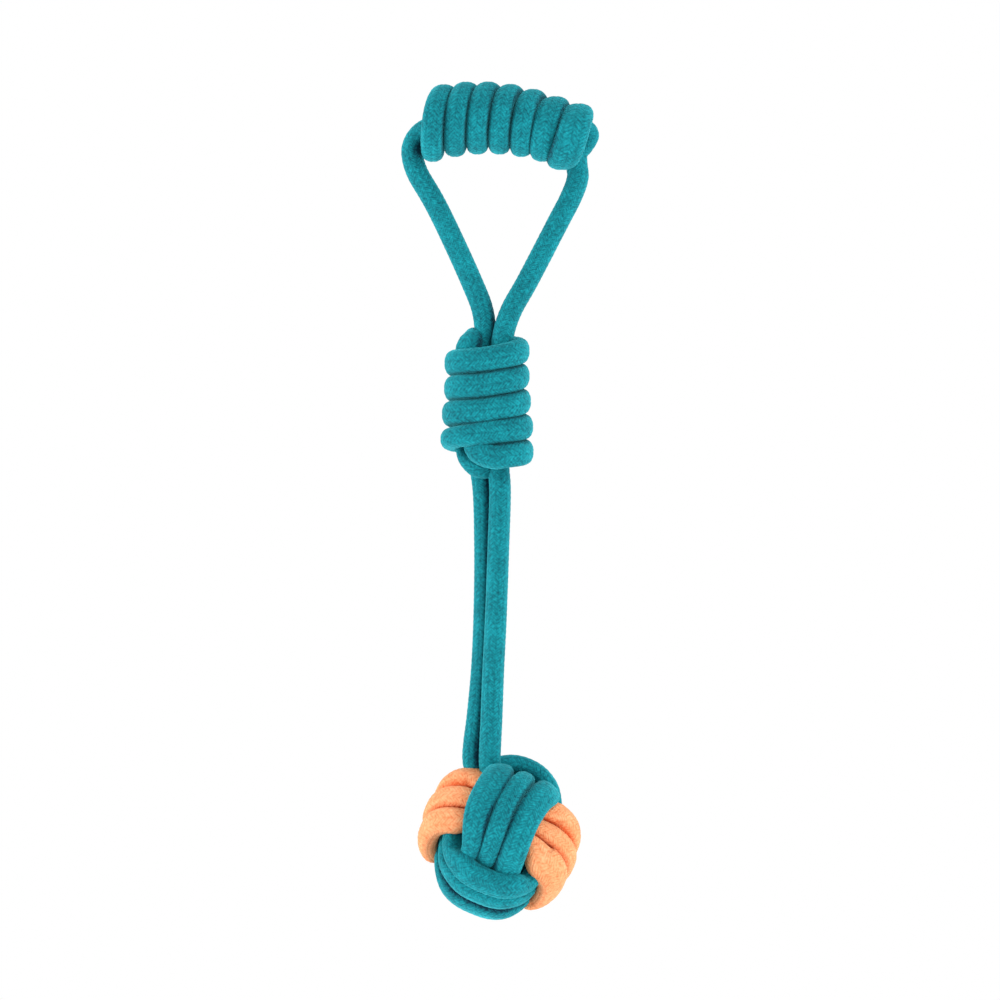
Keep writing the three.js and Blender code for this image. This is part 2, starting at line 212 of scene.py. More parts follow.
# How the ropes press on one another: the slope of the contact, and the heights along Y, in
# millimetres, over which the slope or the painted shade where they touch sets in or fades
PAIR_CONTACT = math.radians(52)
FORK_CONTACT = math.radians(20)
MOUTH_CONTACT = math.radians(45)
PAIR_FADE = (0, 70)
FORK_SHADE_FADE = (80, 96)
LEG_FADE = (110, 140)
MOUTH_SHADE_FADE = (152, 158)

# Where each rope is cut, and between which heights its parts bend, along Y in millimetres
ROPE_CUTS = (152, 50, -13.5, -72.5)
HANDLE_BEND = (74, 98)
SHANK_BEND = (12, -12)
SWAY_BEND = (-40, -60)
BALL_BEND = (-90, -114)

# Camera: straight down, with the photograph's middle over the origin
PICTURE_WIDTH = 454.5 * MM
PICTURE_HEIGHT_Z = 20 * MM
CAMERA_DISTANCE = 2.8

# Studio: each lamp has a place, an aim, a width and a power. The sky is white as it is seen, and
# gives this share of its light
LAMPS = {
    "window_light": ((-2.6, -0.3, 0.7), (0, 0, 0), 1.2, 71),
    "front_light": ((0.3, -0.7, 2.2), (0, -0.1, 0), 1.8, 9),
    "side_light": ((1.9, -1.7, 1.1), (0, 0, 0), 2, 60),
    "far_light": ((1.6, 1.9, 1.5), (0, -0.1, 0), 2, 41),
}
SKY_LIGHT = 0.65
PAPER_WHITE = (0.95, 0.95, 0.95, 1)
FLOOR_HALF_WIDTH = 4


def place_camera():
    data = bpy.data.cameras.new("camera")
    data.sensor_width = 36
    data.lens = data.sensor_width * (CAMERA_DISTANCE - PICTURE_HEIGHT_Z) / PICTURE_WIDTH
    data.clip_start = 0.1
    data.clip_end = 20
    camera = bpy.data.objects.new("camera", data)
    camera.location = (0, 0, CAMERA_DISTANCE)
    bpy.context.scene.collection.objects.link(camera)
    bpy.context.scene.camera = camera


# Node trees

class Field:
    """A number or a vector in a node tree, which takes the usual arithmetic."""

    def __init__(self, tree, socket):
        self.tree = tree
        self.socket = socket

    def math(self, operation, *others):
        return calculate(self.tree, "ShaderNodeMath", operation, self, *others)

    def __add__(self, other):
        return self.math("ADD", other)

    def __sub__(self, other):
        return self.math("SUBTRACT", other)

    def __rsub__(self, other):
        return calculate(self.tree, "ShaderNodeMath", "SUBTRACT", other, self)

    def __mul__(self, other):
        return self.math("MULTIPLY", other)

    def __truediv__(self, other):
        return self.math("DIVIDE", other)

    def __rtruediv__(self, other):
        return calculate(self.tree, "ShaderNodeMath", "DIVIDE", other, self)

    def __pow__(self, other):
        return self.math("POWER", other)

    def vector(self, operation, *others):
        return calculate(self.tree, "ShaderNodeVectorMath", operation, self, *others)

    def scaled(self, factor):
        inputs = {"Vector": self, "Scale": factor}
        return out(self.tree, add_node(self.tree, "ShaderNodeVectorMath", inputs, operation="SCALE"))


def feed(tree, socket, value):
    if isinstance(value, Field):
        tree.links.new(value.socket, socket)
    else:
        socket.default_value = value


def calculate(tree, kind, operation, *values):
    node = tree.nodes.new(kind)
    node.operation = operation
    for socket, value in zip(node.inputs, values):
        feed(tree, socket, value)
    shown = [output for output in node.outputs if output.enabled]
    return Field(tree, shown[0])


def add_node(tree, kind, inputs=(), **settings):
    node = tree.nodes.new(kind)
    for name, value in settings.items():
        setattr(node, name, value)
    for name, value in dict(inputs).items():
        feed(tree, node.inputs[name], value)
    return node


def out(tree, node, name=0):
    return Field(tree, node.outputs[name])


def stored(tree, geometry, name, kind, domain, value):
    inputs = {"Geometry": geometry, "Name": name, "Value": value}
    node = add_node(tree, "GeometryNodeStoreNamedAttribute", inputs, data_type=kind, domain=domain)
    return out(tree, node)


def captured(tree, geometry, value, kind):
    node = add_node(tree, "GeometryNodeCaptureAttribute", domain="POINT")
    node.capture_items.new(kind, "Value")
    feed(tree, node.inputs["Geometry"], geometry)
    feed(tree, node.inputs["Value"], value)
    return out(tree, node, "Geometry"), out(tree, node, "Value")


def named(tree, name, kind):
    node = add_node(tree, "GeometryNodeInputNamedAttribute", {"Name": name}, data_type=kind)
    return out(tree, node, "Attribute")


def noise(tree, place, scale, detail):
    inputs = {"Vector": place, "Scale": scale, "Detail": detail}
    return out(tree, add_node(tree, "ShaderNodeTexNoise", inputs))


ROPE_INPUTS = [
    ("Step", "NodeSocketFloat", BRAID_STEP),
    ("Sides", "NodeSocketInt", BRAID_SIDES),
    ("Columns", "NodeSocketFloat", BRAID_COLUMNS),
    ("Stitch", "NodeSocketFloat", STITCH),
    ("Slant", "NodeSocketFloat", STITCH_SLANT),
    ("Relief", "NodeSocketFloat", BRAID_RELIEF),
    ("Nap", "NodeSocketFloat", NAP_RELIEF),
    # The strength of the painted shade where a neighbour presses the rope
    ("Painted Shade", "NodeSocketFloat", PAINTED_CREVICE_SHADE["teal_cotton"]),
    ("Squareness", "NodeSocketFloat", ROUND_SECTION),
    ("Cotton", "NodeSocketMaterial", None),
]


def stitch_height(tree, run, round_share, columns, stitch, slant, threads):
    """The height of the braid: slanting stitches, each of one or more threads side by side."""
    column = round_share * columns
    odd = (column.math("FLOOR") * 0.5).math("FRACT") * 2
    across = column.math("FRACT") - 0.5
    phase = run / stitch + across * (1 - odd * 2) * slant + odd * 0.5
    from_middle = (phase * threads).math("FRACT") * 2 - 1
    edge = (across * 2).math("ABSOLUTE") ** STITCH_EDGE_POWER
    return (1 - from_middle.math("ABSOLUTE") ** 2.0) * (1 - edge * STITCH_EDGE_DEPTH)


def braided_rope_tree():
    """A rope along a path: its round or squeezed section, and the stitches of its braid."""
    tree = bpy.data.node_groups.new("braided_rope", "GeometryNodeTree")
    tree.interface.new_socket("Path", in_out="INPUT", socket_type="NodeSocketGeometry")
    for name, kind, value in ROPE_INPUTS:
        socket = tree.interface.new_socket(name, in_out="INPUT", socket_type=kind)
        if value is not None:
            socket.default_value = value
    tree.interface.new_socket("Rope", in_out="OUTPUT", socket_type="NodeSocketGeometry")
    given = tree.nodes.new("NodeGroupInput")
    size = {name: out(tree, given, name) for name, _, _ in ROPE_INPUTS}

    # The line, in even steps, with its places and directions noted
    path = out(tree, given, "Path")
    line = out(tree, add_node(tree, "GeometryNodeMeshToCurve", {"Mesh": path}), "Curve")
    smooth = add_node(tree, "GeometryNodeCurveSplineType", {"Curve": line}, spline_type="CATMULL_ROM")
    even = {"Curve": out(tree, smooth), "Length": size["Step"]}
    line = out(tree, add_node(tree, "GeometryNodeResampleCurve", even, mode="LENGTH"))
    position = out(tree, add_node(tree, "GeometryNodeInputPosition"))
    line, place = captured(tree, line, position, "VECTOR")
    tangent = out(tree, add_node(tree, "GeometryNodeInputTangent"))
    line, along = captured(tree, line, tangent, "VECTOR")
    length = out(tree, add_node(tree, "GeometryNodeSplineParameter"), "Length")
    line, run = captured(tree, line, length, "FLOAT")

    # The section, open where it meets itself, so that the pattern runs once round it
    ring = add_node(tree, "GeometryNodeMeshLine", {"Count": size["Sides"] + 1, "Offset": (0, 0, MM)})
    section = out(tree, add_node(tree, "GeometryNodeMeshToCurve", {"Mesh": out(tree, ring)}), "Curve")
    share = out(tree, add_node(tree, "GeometryNodeSplineParameter"), "Factor")
    section, round_share = captured(tree, section, share, "FLOAT")
    curves = {"Curve": line, "Profile Curve": section}
    tube = out(tree, add_node(tree, "GeometryNodeCurveToMesh", curves))

    # Each point of the plain surface, from the middle of the rope outwards
    angle = round_share * (2 * math.pi)
    outward = named(tree, "outward", "FLOAT_VECTOR")
    aside = along.vector("CROSS_PRODUCT", outward).vector("NORMALIZE")
    outward = aside.vector("CROSS_PRODUCT", along).vector("NORMALIZE")
    cosine, sine = angle.math("COSINE"), angle.math("SINE")
    power = size["Squareness"]
    reach = (cosine.math("ABSOLUTE") ** power + sine.math("ABSOLUTE") ** power) ** (-1 / power)
    high = named(tree, "high", "FLOAT") * reach * cosine
    wide = named(tree, "wide", "FLOAT") * reach * sine
    offset = outward.scaled(high).vector("ADD", aside.scaled(wide))
    plain = place.vector("ADD", offset)

    # Stitches in columns that slant to and fro, and the nap of the yarn
    stitch, slant = size["Stitch"], size["Slant"]
    height = stitch_height(tree, run, round_share, size["Columns"], stitch, slant, 1)
    nap = noise(tree, plain, NAP_SCALE, 2)
    lift = (height - 1) * size["Relief"] + (nap - 0.5) * size["Nap"]
    surface = plain.vector("ADD", offset.vector("NORMALIZE").scaled(lift))
    moved = add_node(tree, "GeometryNodeSetPosition", {"Geometry": tube, "Position": surface})

    # The pattern's own coordinates, kept for the material
    both = add_node(tree, "ShaderNodeCombineXYZ", {"X": run / ROPE, "Y": round_share * math.pi})
    rope = stored(tree, out(tree, moved), "UVMap", "FLOAT2", "CORNER", out(tree, both))
    # Painted shade for the material: darker towards the sides where a neighbour presses
    right = sine.math("MAXIMUM", 0) ** PAINTED_CREVICE_POWER * named(tree, "painted_shade_right", "FLOAT")
    left = (0 - sine).math("MAXIMUM", 0) ** PAINTED_CREVICE_POWER * named(tree, "painted_shade_left", "FLOAT")
    rope = stored(tree, rope, "painted_crevice_shade", "FLOAT", "POINT", (right + left) * size["Painted Shade"])
    rope = stored(tree, rope, "run", "FLOAT", "POINT", run)
    joined = add_node(tree, "GeometryNodeMergeByDistance", {"Geometry": rope, "Distance": SEAM_WELD})
    soft = add_node(tree, "GeometryNodeSetShadeSmooth", {"Geometry": out(tree, joined)})
    real = add_node(tree, "GeometryNodeRealizeInstances", {"Geometry": out(tree, soft)})
    inputs = {"Geometry": out(tree, real), "Material": size["Cotton"]}
    dyed = add_node(tree, "GeometryNodeSetMaterial", inputs)
    add_node(tree, "NodeGroupOutput", {"Rope": out(tree, dyed)})
    return tree


# Cotton

def linear(red, green, blue):
    """A colour as it looks on a screen, from 0 to 255, as the shader takes it."""
    shares = [value / 255 for value in (red, green, blue)]
    return (*[((v + 0.055) / 1.055) ** 2.4 if v > 0.04045 else v / 12.92 for v in shares], 1)


def cotton(name, light, middle, deep, sheen, sheen_weight):
    """Braided cotton: fine slanting threads, painted shade in their grooves, an uneven dye, and painted
    shade where the turns press.
    """
    material = bpy.data.materials.new(name)
    material.use_nodes = True
    tree = material.node_tree
    tree.nodes.clear()
    coordinates = out(tree, add_node(tree, "ShaderNodeUVMap"))
    pattern = add_node(tree, "ShaderNodeSeparateXYZ", {"Vector": coordinates})
    run, round_share = out(tree, pattern, "X") * ROPE, out(tree, pattern, "Y") / math.pi
    place = out(tree, add_node(tree, "ShaderNodeTexCoord"), "Object")
    uneven, patches, specks = [noise(tree, place, scale, detail) for scale, detail in (
        (WANDER_SCALE, 1), (PATCH_SCALE, 3), (SPECK_SCALE, 3))]
    run = run + (uneven - 0.5) * WANDER
    threads = stitch_height(tree, run, round_share, BRAID_COLUMNS, STITCH, STITCH_SLANT, 2)
    strands = stitch_height(tree, run, round_share, BRAID_COLUMNS, STITCH, STITCH_SLANT, 1)
    # Painted shade where a neighbour presses, as the rope's attribute gives it
    painted_crevice_shade = out(tree, add_node(tree, "ShaderNodeAttribute", attribute_name="painted_crevice_shade"), "Fac")

    # Painted shade in the braid's grooves from the thread and strand heights, and an uneven dye from the
    # patches and specks
    shade = threads * PAINTED_THREAD_SHADE + strands * PAINTED_STRAND_SHADE
    shade = shade + patches * PATCH_SHADE + specks * SPECK_SHADE - SHADE_LEVEL
    # The painted shade is taken off the tone, towards the deep colour
    ramp = add_node(tree, "ShaderNodeValToRGB", {"Fac": shade - painted_crevice_shade})
    ramp.color_ramp.elements[0].position = 0.0
    ramp.color_ramp.elements[0].color = deep
    ramp.color_ramp.elements[1].position = 1.0
    ramp.color_ramp.elements[1].color = light
    half = ramp.color_ramp.elements.new(0.5)
    half.color = middle

    relief = threads * THREAD_BUMP + specks * SPECK_BUMP
    bump = add_node(tree, "ShaderNodeBump", {"Strength": 0.7, "Distance": BUMP_DEPTH, "Height": relief})
    shader = add_node(tree, "ShaderNodeBsdfPrincipled", {
        "Base Color": out(tree, ramp),
        "Roughness": 0.9,
        "Specular IOR Level": 0.15,
        "Sheen Weight": sheen_weight,
        "Sheen Roughness": 0.4,
        "Sheen Tint": sheen,
        "Normal": out(tree, bump),
    })
    result = add_node(tree, "ShaderNodeOutputMaterial")
    tree.links.new(shader.outputs[0], result.inputs["Surface"])
    return material


# Lines that the ropes follow: places, outward directions, half heights and half widths, and how
# dark the painted shade is on the rope's right and left sides, where a neighbour presses them

def smoothstep(value, low, high):
    """From 0 at the low mark to 1 at the high one, without a kink."""
    share = np.clip((value - low) / (high - low), 0, 1)
    return share * share * (3 - 2 * share)


def superellipse(angle, along, across, power):
    """How far out a rounded box's edge is, at an angle from its first half axis."""
    first = (np.abs(np.cos(angle)) / along) ** power
    second = (np.abs(np.sin(angle)) / across) ** power
    return (first + second) ** (-1 / power)


def joined_line(places, outwards, highs, wides, right_shade=0, left_shade=0):
    """A line with its values, each of which may be one for all its points."""
    line = {"place": np.asarray(places, float), "outward": np.asarray(outwards, float)}
    values = {"high": highs, "wide": wides, "painted_shade_right": right_shade, "painted_shade_left": left_shade}
    for name, value in values.items():
        line[name] = np.broadcast_to(np.asarray(value, float), (len(places),)).copy()
    return line


def distances(places):
    """How far along the line each of its points is."""
    return np.concatenate([[0], np.cumsum(np.linalg.norm(np.diff(places, axis=0), axis=1))])


def even_line(line):
    """The same line with its points a step apart."""
    run = distances(line["place"])
    marks = np.linspace(0, run[-1], max(2, int(round(run[-1] / PATH_STEP)) + 1))
    columns = {}
    for key, value in line.items():
        value = value if value.ndim == 2 else value[:, None]
        parts = [np.interp(marks, run, value[:, i]) for i in range(value.shape[1])]
        columns[key] = np.stack(parts, axis=1) if len(parts) > 1 else parts[0]
    return columns


def smooth_places(points, per_span):
    """A smooth curve through chosen points."""
    points = np.asarray(points, float)
    padded = np.vstack([2 * points[0] - points[1], points, 2 * points[-1] - points[-2]])
    found = []
    for before, start, end, after in zip(padded, padded[1:], padded[2:], padded[3:]):
        steps = (start - before, end - start, after - end)
        first, middle, last = [max(np.linalg.norm(step), 1e-9) ** 0.5 for step in steps]
        slope_in = steps[0] / first - (end - before) / (first + middle) + steps[1] / middle
        slope_out = steps[1] / middle - (after - start) / (middle + last) + steps[2] / last
        slope_in, slope_out = slope_in * middle, slope_out * middle
        t = np.linspace(0, 1, per_span, endpoint=False)[:, None]
        found.append((2 * t**3 - 3 * t**2 + 1) * start + (t**3 - 2 * t**2 + t) * slope_in
                     + (3 * t**2 - 2 * t**3) * end + (t**3 - t**2) * slope_out)
    return np.vstack([*found, points[-1:]])


def rounded_ends(line):
    """The rope's own ends, drawn in round."""
    run = distances(line["place"])
    for away in (run, run[-1] - run):
        share = np.clip(away / TIP_LENGTH, 0, 1)
        narrow = np.sqrt(np.maximum(1 - (1 - share) ** 2, TIP_SHARE**2))
        line["high"] = line["high"] * narrow
        line["wide"] = line["wide"] * narrow
    return line


def run_out(places):
    """The line with one more point, a rope's width straight on, at each end."""
    first = (places[0] - places[1]) / np.linalg.norm(places[0] - places[1])
    last = (places[-1] - places[-2]) / np.linalg.norm(places[-1] - places[-2])
    return np.vstack([places[:1] + first * ROPE, places, places[-1:] + last * ROPE])


def grip_line_y(x):
    share = (x - GRIP_X) / GRIP_HALF_LENGTH
    return GRIP_Y + math.tan(GRIP_TILT) * (x - GRIP_X) + GRIP_ARCH * (1 - share**2)


def grip_radius(x):
    return GRIP_RADIUS - GRIP_TAPER * (x - GRIP_X) / GRIP_HALF_LENGTH


def grip_line_z(x):
    return grip_radius(x) + ROPE / 2 - REST_CUT


def grip_line():
    """The turns bow to one side, and the last one is looser and wider."""
    angle = np.linspace(GRIP_START, GRIP_END, GRIP_POINTS)
    last = smoothstep(angle, GRIP_LAST_TOP - 2 * math.pi, GRIP_LAST_TOP)
    bow = GRIP_BOW * (1 - GRIP_LAST_BOW * last)
    slant = GRIP_LAST_SLANT * np.clip(angle / GRIP_END, 0, 1) ** 3
    axis_x = GRIP_X + GRIP_PITCH * (angle / (2 * math.pi) - GRIP_TURNS / 2) - GRIP_LAST_DRAW * last
    x = axis_x - bow * np.sin(angle) - slant * np.cos(angle)
    radius = grip_radius(axis_x) + GRIP_LAST_SWELL * last
    y = grip_line_y(x) - radius * np.cos(angle)
    z = radius * (1 + np.sin(angle)) + ROPE / 2 - REST_CUT
    places = np.stack([x, y, z], axis=1)
    outward = np.stack([np.zeros(len(x)), -np.cos(angle), np.sin(angle)], axis=1)

    # The last turn and the one before it are wider near their tops, told here in half turns. The
    # first and the last turn get painted shade on one side only, where a neighbour presses them
    from_last = np.abs(angle - GRIP_LAST_TOP) / math.pi
    second = 1 - smoothstep(np.abs(from_last - 2), 0.2, 0.8)
    loose = 1 - smoothstep(from_last, 0.3, 0.9) + GRIP_SECOND_LOOSE * second
    wide = GRIP_PITCH / 2 + GRIP_LOOSE * loose
    right_shade = 1 - smoothstep(angle, GRIP_END - 2.2 * math.pi, GRIP_END - 1.8 * math.pi)
    left_shade = smoothstep(angle, GRIP_START + 1.8 * math.pi, GRIP_START + 2.2 * math.pi)
    line = joined_line(places, outward, GRIP_HALF_HEIGHT, wide, right_shade, left_shade)
    return rounded_ends(even_line(line))


def knot_turn(angle):
    """The upper turns are narrower than the lower ones, and sag in front."""
    taper = KNOT_TAPER * smoothstep(angle, *KNOT_TAPER_SPAN)
    reach = superellipse(angle, KNOT_HALF_WIDTH - taper, KNOT_HALF_DEPTH, KNOT_SQUARENESS)
    sag = KNOT_SAG * smoothstep(angle, *KNOT_SAG_SPAN) * np.maximum(np.sin(angle), 0) ** 2
    x = KNOT_MIDDLE.x - reach * np.cos(angle)
    y = KNOT_MIDDLE.y - KNOT_PITCH * KNOT_TURNS / 2 + KNOT_PITCH * angle / (2 * math.pi) - sag
    z = KNOT_MIDDLE.z + reach * np.sin(angle)
    return np.stack([x, y, z], axis=1)


def knot_line():
    """The lowest turn comes out from under the next."""
    turns = knot_turn(np.linspace(KNOT_START, KNOT_END, KNOT_POINTS))
    places = smooth_places(np.vstack([np.array(KNOT_FIRST) * MM, turns]), per_span=4)
    outward = places - np.array(KNOT_MIDDLE)
    outward[:, 1] = 0

    # Painted shade darkens each turn where the one above it presses, but for the last, and where the
    # one below it presses, but for the first, which is also narrow for a short way. The marks are
    # shares of the line
    share = np.linspace(0, 1, len(places))
    left_shade = 1 - smoothstep(share, 0.75, 0.82)
    right_shade = smoothstep(share, 0.19, 0.26)
    narrow = smoothstep(share, 0.12, 0.15) * (1 - smoothstep(share, 0.19, 0.23))
    wide = KNOT_PITCH / 2 - KNOT_FIRST_NARROW * narrow
    return rounded_ends(even_line(joined_line(places, outward, KNOT_HALF_HEIGHT, wide, right_shade, left_shade)))


def knot_end_line(points):
    """One of the winding's two ends, with painted shade on its inner side, where the turn or the rope lies.
    """
    places = smooth_places(points, KNOT_END_POINTS) * MM
    places, wide = places[:, :3], places[:, 3]
    outward = np.tile(KNOT_END_OUTWARD, (len(places), 1))
    upwards = places[-1, 1] > places[0, 1]
    line = joined_line(places, outward, KNOT_END_HALF_HEIGHT, wide, upwards, not upwards)
    return rounded_ends(even_line(line))


def ball_axes():
    """The directions out of the ball's front, up its front and to its left."""
    slant = math.sin(BALL_TILT)
    front = Vector((slant * math.cos(BALL_TILT_TOWARDS), slant * math.sin(BALL_TILT_TOWARDS),
                    math.cos(BALL_TILT)))
    up = Vector((math.sin(BALL_LEAN), math.cos(BALL_LEAN), 0))
    up = (up - front * up.dot(front)).normalized()
    return front, up, front.cross(up)


def band_values(table, turn, height):
    """A value between those of the turns, each of which may change smoothly over the height."""
    found = 0
    for place, values in zip((-1, 0, 1), table):
        curve = np.polyfit(np.linspace(-1, 1, 5), np.broadcast_to(values, (5,)), 4)
        found = found + np.clip(1 - np.abs(turn - place), 0, 1) * np.polyval(curve, height)
    return found


def band_line(axes, depth, near, far, skew=0.0, fan=0.0, shift=0.0, lean=0.0, crown=0.0,
              late=(0, 0), rounder=0.0):
    """Three turns side by side, over one of the other bands and under the next."""
    start = math.atan(BAND_START / depth) - math.pi / 2
    end = 2 * math.pi * (BAND_TURNS - 1 / 4) - (start + math.pi / 2)
    angle = np.linspace(start, end, BAND_POINTS)
    crossing = math.atan(BAND_SHIFT / depth)
    turn = np.full(len(angle), -(BAND_TURNS - 1) / 2)
    for i in range(1, BAND_TURNS):
        pole = 2 * math.pi * (i - 1 / 4)
        turn += smoothstep(angle, pole - crossing, pole + crossing)

    # The turns lie loose and wide where the band is on top, and tight where it is under another
    later = np.where(np.sin(angle) < 0, late[0], late[1])
    loose = 1 - smoothstep(np.abs(np.sin(angle)) - later, OVER_SHARE, UNDER_SHARE)
    power = np.where(np.cos(angle) > 0, BAND_SQUARENESS - rounder, BAND_SQUARENESS)
    height = superellipse(angle, BAND_REACH, depth, power) * np.sin(angle) / depth
    side = {key: np.where(np.cos(angle) > 0, band_values(near[key], turn, height),
                          band_values(far[key], turn, height)) * MM for key in ("aside", "wider")}
    spacing = BAND_TIGHT_SPACING + (BAND_SPACING - BAND_TIGHT_SPACING) * loose
    aside = turn * spacing + side["aside"] * loose
    wide = BAND_TIGHT_WIDTH + (BAND_SPACING + side["wider"] - BAND_TIGHT_WIDTH) * loose

    # The path round the ball, seen along the band's own axes
    reach = superellipse(angle, np.sqrt(BAND_REACH**2 - BAND_CROWN_SHARE * aside**2), depth, power)
    along, across = reach * np.cos(angle), reach * np.sin(angle)
    aside = aside * (1 + fan * across / depth * np.sign(along)) - skew * across + shift * np.sign(along)
    across = across + lean * np.minimum(along, 0)
    along = along + crown * np.maximum(along, 0) / BAND_REACH
    flat = run_out(np.stack([along, across, aside], axis=1))
    places = flat @ np.array([list(axis) for axis in axes])
    wide, turn = (np.concatenate([value[:1], value, value[-1:]]) for value in (wide, turn))

    # The middle turn gets painted shade on both sides, where its neighbours press, and the others on one
    right_shade, left_shade = smoothstep(turn, -0.7, -0.3), 1 - smoothstep(turn, 0.3, 0.7)
    middle = places + np.array(BALL_MIDDLE)
    line = joined_line(middle, places, BAND_HALF_HEIGHT, wide / 2, right_shade, left_shade)
    return rounded_ends(even_line(line))


def heart_line(axes):
    """The rope inside the ball, which is seen only deep between the bands."""
    share = np.linspace(*HEART_SPAN, HEART_POINTS)
    angle, polar = share * HEART_TURNS * 2 * math.pi, share * math.pi
    flat = HEART_RADIUS * np.stack([np.sin(polar) * np.cos(angle), np.sin(polar) * np.sin(angle),
                                    np.cos(polar)], axis=1)
    places = flat @ np.array([list(axis) for axis in axes])
    line = joined_line(places + np.array(BALL_MIDDLE), places, ROPE / 2, ROPE / 2)
    return rounded_ends(even_line(line))


def rope_line(route, side):
    """One of the two ropes, from the middle of the grip to inside the ball."""
    inside = np.linspace(0, GRIP_INSIDE_SHARE, GRIP_INSIDE_POINTS) * side * GRIP_HALF_LENGTH + GRIP_X
    core = [(x / MM, grip_line_y(x) / MM, grip_line_z(x) / MM) for x in inside]
    places = smooth_places(core + route, ROUTE_POINTS) * MM

    # The right rope lies on the left one, and each gets painted shade where they touch
    y = places[:, 1] / MM
    slope = FORK_CONTACT + (PAIR_CONTACT - FORK_CONTACT) * (1 - smoothstep(y, *PAIR_FADE))
    slope = slope + (-side * MOUTH_CONTACT - slope) * smoothstep(y, *LEG_FADE)
    outward = np.stack([-np.sin(slope), 0 * slope, np.cos(slope)], axis=1)
    # Painted shade where the two ropes touch, fading at the fork and setting in again at the mouths
    touch_shade = 1 - smoothstep(y, *FORK_SHADE_FADE) + smoothstep(y, *MOUTH_SHADE_FADE)
    right_shade, left_shade = (touch_shade, 0) if side > 0 else (0, touch_shade)
    return even_line(joined_line(places, outward, ROPE / 2, ROPE / 2, right_shade, left_shade))


# Pieces

def plain_object(name, mesh):
    """An object for a mesh, in the scene's own collection."""
    piece = bpy.data.objects.new(name, mesh)
    bpy.context.scene.collection.objects.link(piece)
    return piece


def path_mesh(name, line):
    """A line as edges, with its values as attributes of their points."""
    mesh = bpy.data.meshes.new(name)
    count = len(line["place"])
    mesh.from_pydata([tuple(p) for p in line["place"]], [(i, i + 1) for i in range(count - 1)], [])
    outward = mesh.attributes.new("outward", "FLOAT_VECTOR", "POINT")
    outward.data.foreach_set("vector", line["outward"].astype(np.float32).ravel())
    for key in ("high", "wide", "painted_shade_right", "painted_shade_left"):
        number = mesh.attributes.new(key, "FLOAT", "POINT")
        number.data.foreach_set("value", line[key].astype(np.float32))
    return mesh


def close_ends(mesh):
    """Caps the open ends, keeps their edges sharp and turns every face outwards."""
    bm = bmesh.new()
    bm.from_mesh(mesh)
    rim = [edge for edge in bm.edges if edge.is_boundary]
    for face in bmesh.ops.holes_fill(bm, edges=rim)["faces"]:
        face.smooth = False
        for edge in face.edges:
            edge.smooth = False
    if bm.calc_volume(signed=True) < 0:
        bmesh.ops.reverse_faces(bm, faces=bm.faces)
    bm.to_mesh(mesh)
    bm.free()


def braided(name, line, tree, material, squareness, slot):
    """A plain mesh of braided rope along a line."""
    holder = plain_object(name, path_mesh(name, line))
    modifier = holder.modifiers.new("braid", "NODES")
    modifier.node_group = tree
    items = tree.interface.items_tree
    sockets = {item.name: item.identifier for item in items if item.in_out == "INPUT"}
    # How square the section is, how dark its painted shade gets, and its cotton
    modifier[sockets["Squareness"]] = squareness
    modifier[sockets["Painted Shade"]] = PAINTED_CREVICE_SHADE[slot]
    modifier[sockets["Cotton"]] = material
    graph = bpy.context.evaluated_depsgraph_get()
    mesh = bpy.data.meshes.new_from_object(holder.evaluated_get(graph), depsgraph=graph)
    bpy.data.objects.remove(holder)
    mesh.name = name
    return mesh


def winding(name, line, tree, material, squareness, body, slot, nodes):
    """A piece of rope that bends at no joint."""
    mesh = braided(name, line, tree, material, squareness, slot)
    close_ends(mesh)
    piece = plain_object(name, mesh)
    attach(piece, body)
    if nodes:
        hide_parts(*nodes)


def cut_out(mesh, name, low, high):
    """The part of a rope between two distances along it, as a mesh of its own."""
    part = mesh.copy()
    part.name = name
    bm = bmesh.new()
    bm.from_mesh(part)
    run = bm.verts.layers.float["run"]
    far = [f for f in bm.faces if not low < sum(v[run] for v in f.verts) / len(f.verts) <= high]
    bmesh.ops.delete(bm, geom=far, context="FACES")
    bm.to_mesh(part)
    bm.free()
    close_ends(part)
    return part


def run_at_y(line, y):
    """How far along a rope it crosses a height, past the grip."""
    run = distances(line["place"])
    start = int(np.argmax(np.abs(line["place"][:, 0])))
    height = line["place"][start:, 1]
    return float(np.interp(-y, -height, run[start:]))


def make_rope(side, route, tree, material):
    """One rope in pieces, each cut where nothing bends, so that each bends at one joint."""
    word = "left" if side < 0 else "right"
    line = rope_line(route, side)
    mesh = braided(f"{word}_rope", line, tree, material, ROUND_SECTION, "teal_cotton")
    end = distances(line["place"])[-1]
    cuts = [0, *[run_at_y(line, y * MM) for y in ROPE_CUTS], end + ROPE]
    parts = [
        ("grip_rope", ["grip_core"] if side < 0 else [], "handle", None, None),
        ("leg_rope", [f"leg_{word}", f"handle_flex_{word}"], "knot", "handle", HANDLE_BEND),
        ("upper_rope", [f"knot_core_{word}", f"shank_flex_{word}", f"upper_shank_{word}"],
         "knot", "upper_shanks", SHANK_BEND),
        ("middle_rope", [f"shank_bend_{word}"], "upper_shanks", "lower_shanks", SWAY_BEND),
        ("lower_rope", [f"lower_shank_{word}", f"neck_{word}"], "lower_shanks", "ball", BALL_BEND),
    ]
    for (name, nodes, first, second, bend), low, high in zip(parts, cuts, cuts[1:]):
        piece = plain_object(f"{word}_{name}", cut_out(mesh, f"{word}_{name}", low, high))
        if second is None:
            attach(piece, first)
        else:
            start, stop = [(0, y * MM, 0) for y in bend]
            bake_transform(piece, first, second, start=start, end=stop)
            declare_cord(line, low, min(high, end))
        if nodes:
            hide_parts(*nodes)
    bpy.data.meshes.remove(mesh)


def declare_cord(line, low, high):
    run = distances(line["place"])
    path = [tuple(p) for p, r in zip(line["place"], run) if low <= r <= high]
    high - low


